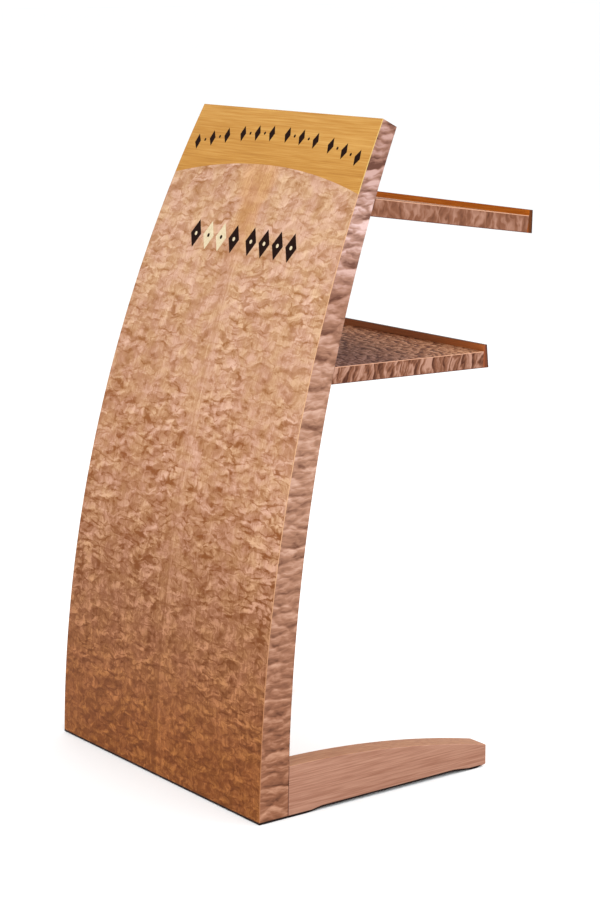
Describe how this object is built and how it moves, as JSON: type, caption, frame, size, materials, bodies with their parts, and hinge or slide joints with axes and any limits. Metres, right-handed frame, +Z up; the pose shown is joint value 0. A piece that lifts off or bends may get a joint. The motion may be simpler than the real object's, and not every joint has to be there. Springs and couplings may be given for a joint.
{
  "type": "lectern",
  "caption": "Standing prayer lectern: tall curved veneered panel on two long feet, with a sloping reading shelf and a book shelf cantilevered from its back.",
  "frame": {"origin": "middle of the bounding box's footprint, on the floor under the glides", "axes": "+Z up; the decorated face looks along -Y; the shelves and the reader are on the +Y side; +X runs across the panel"},
  "size_m": [0.61, 0.6136, 1.1364],
  "materials": {
    "quilted_face": "quilted veneer, satin clear finish",
    "quilted_edge": "quilted veneer, satin clear finish",
    "satinwood": "straight-grained yellow veneer, satin clear finish",
    "ebony": "black wood, satin clear finish",
    "holly": "pale cream wood, satin clear finish",
    "lip_wood": "orange-brown solid wood, satin clear finish",
    "lip_dark": "dark brown wood, satin clear finish",
    "foot_wood": "pinkish-brown straight-grained solid wood, satin",
    "core_wood": "raw sawn core wood",
    "skin_ply": "bent-laminated plywood, raw",
    "steel": "plain steel",
    "felt": "dark felt"
  },
  "bodies": {
    "root": {"back_leaf_left": "quilted_face", "back_leaf_right": "quilted_face", "back_skin": "skin_ply", "bottom_rail": "core_wood", "edge_veneer_left": "quilted_edge", "edge_veneer_right": "quilted_edge", "face_leaf_left": "quilted_face", "face_leaf_right": "quilted_face", "foot_left": "foot_wood", "foot_plate_screws": "steel", "foot_plates": "steel", "foot_right": "foot_wood", "foot_tenons": "core_wood", "front_glide": "felt", "front_skin": "skin_ply", "garland_inlay": "ebony", "header_band": "satinwood", "heel_glides": "felt", "lower_bracket_screws": "steel", "lower_lip": "lip_wood", "lower_lip_facing": "lip_dark", "lower_rib_left": "core_wood", "lower_rib_middle": "core_wood", "lower_rib_right": "core_wood", "lower_shelf_bottom": "quilted_edge", "lower_shelf_bracket": "steel", "lower_shelf_core": "core_wood", "lower_shelf_edge_left": "quilted_edge", "lower_shelf_edge_right": "quilted_edge", "lower_shelf_rail": "core_wood", "lower_shelf_top": "quilted_face", "row_inlay_dark": "ebony", "row_inlay_pale": "holly", "sill": "core_wood", "stile_left": "core_wood", "stile_right": "core_wood", "toe_glides": "felt", "top_edge_veneer": "quilted_edge", "top_rail": "core_wood", "upper_bracket_screws": "steel", "upper_lip": "lip_wood", "upper_lip_facing": "lip_dark", "upper_rib_left": "core_wood", "upper_rib_middle": "core_wood", "upper_rib_right": "core_wood", "upper_shelf_bottom": "quilted_edge", "upper_shelf_bracket": "steel", "upper_shelf_core": "core_wood", "upper_shelf_edge_left": "quilted_edge", "upper_shelf_edge_right": "quilted_edge", "upper_shelf_rail": "core_wood", "upper_shelf_top": "quilted_face"}
  },
  "joints": []
}
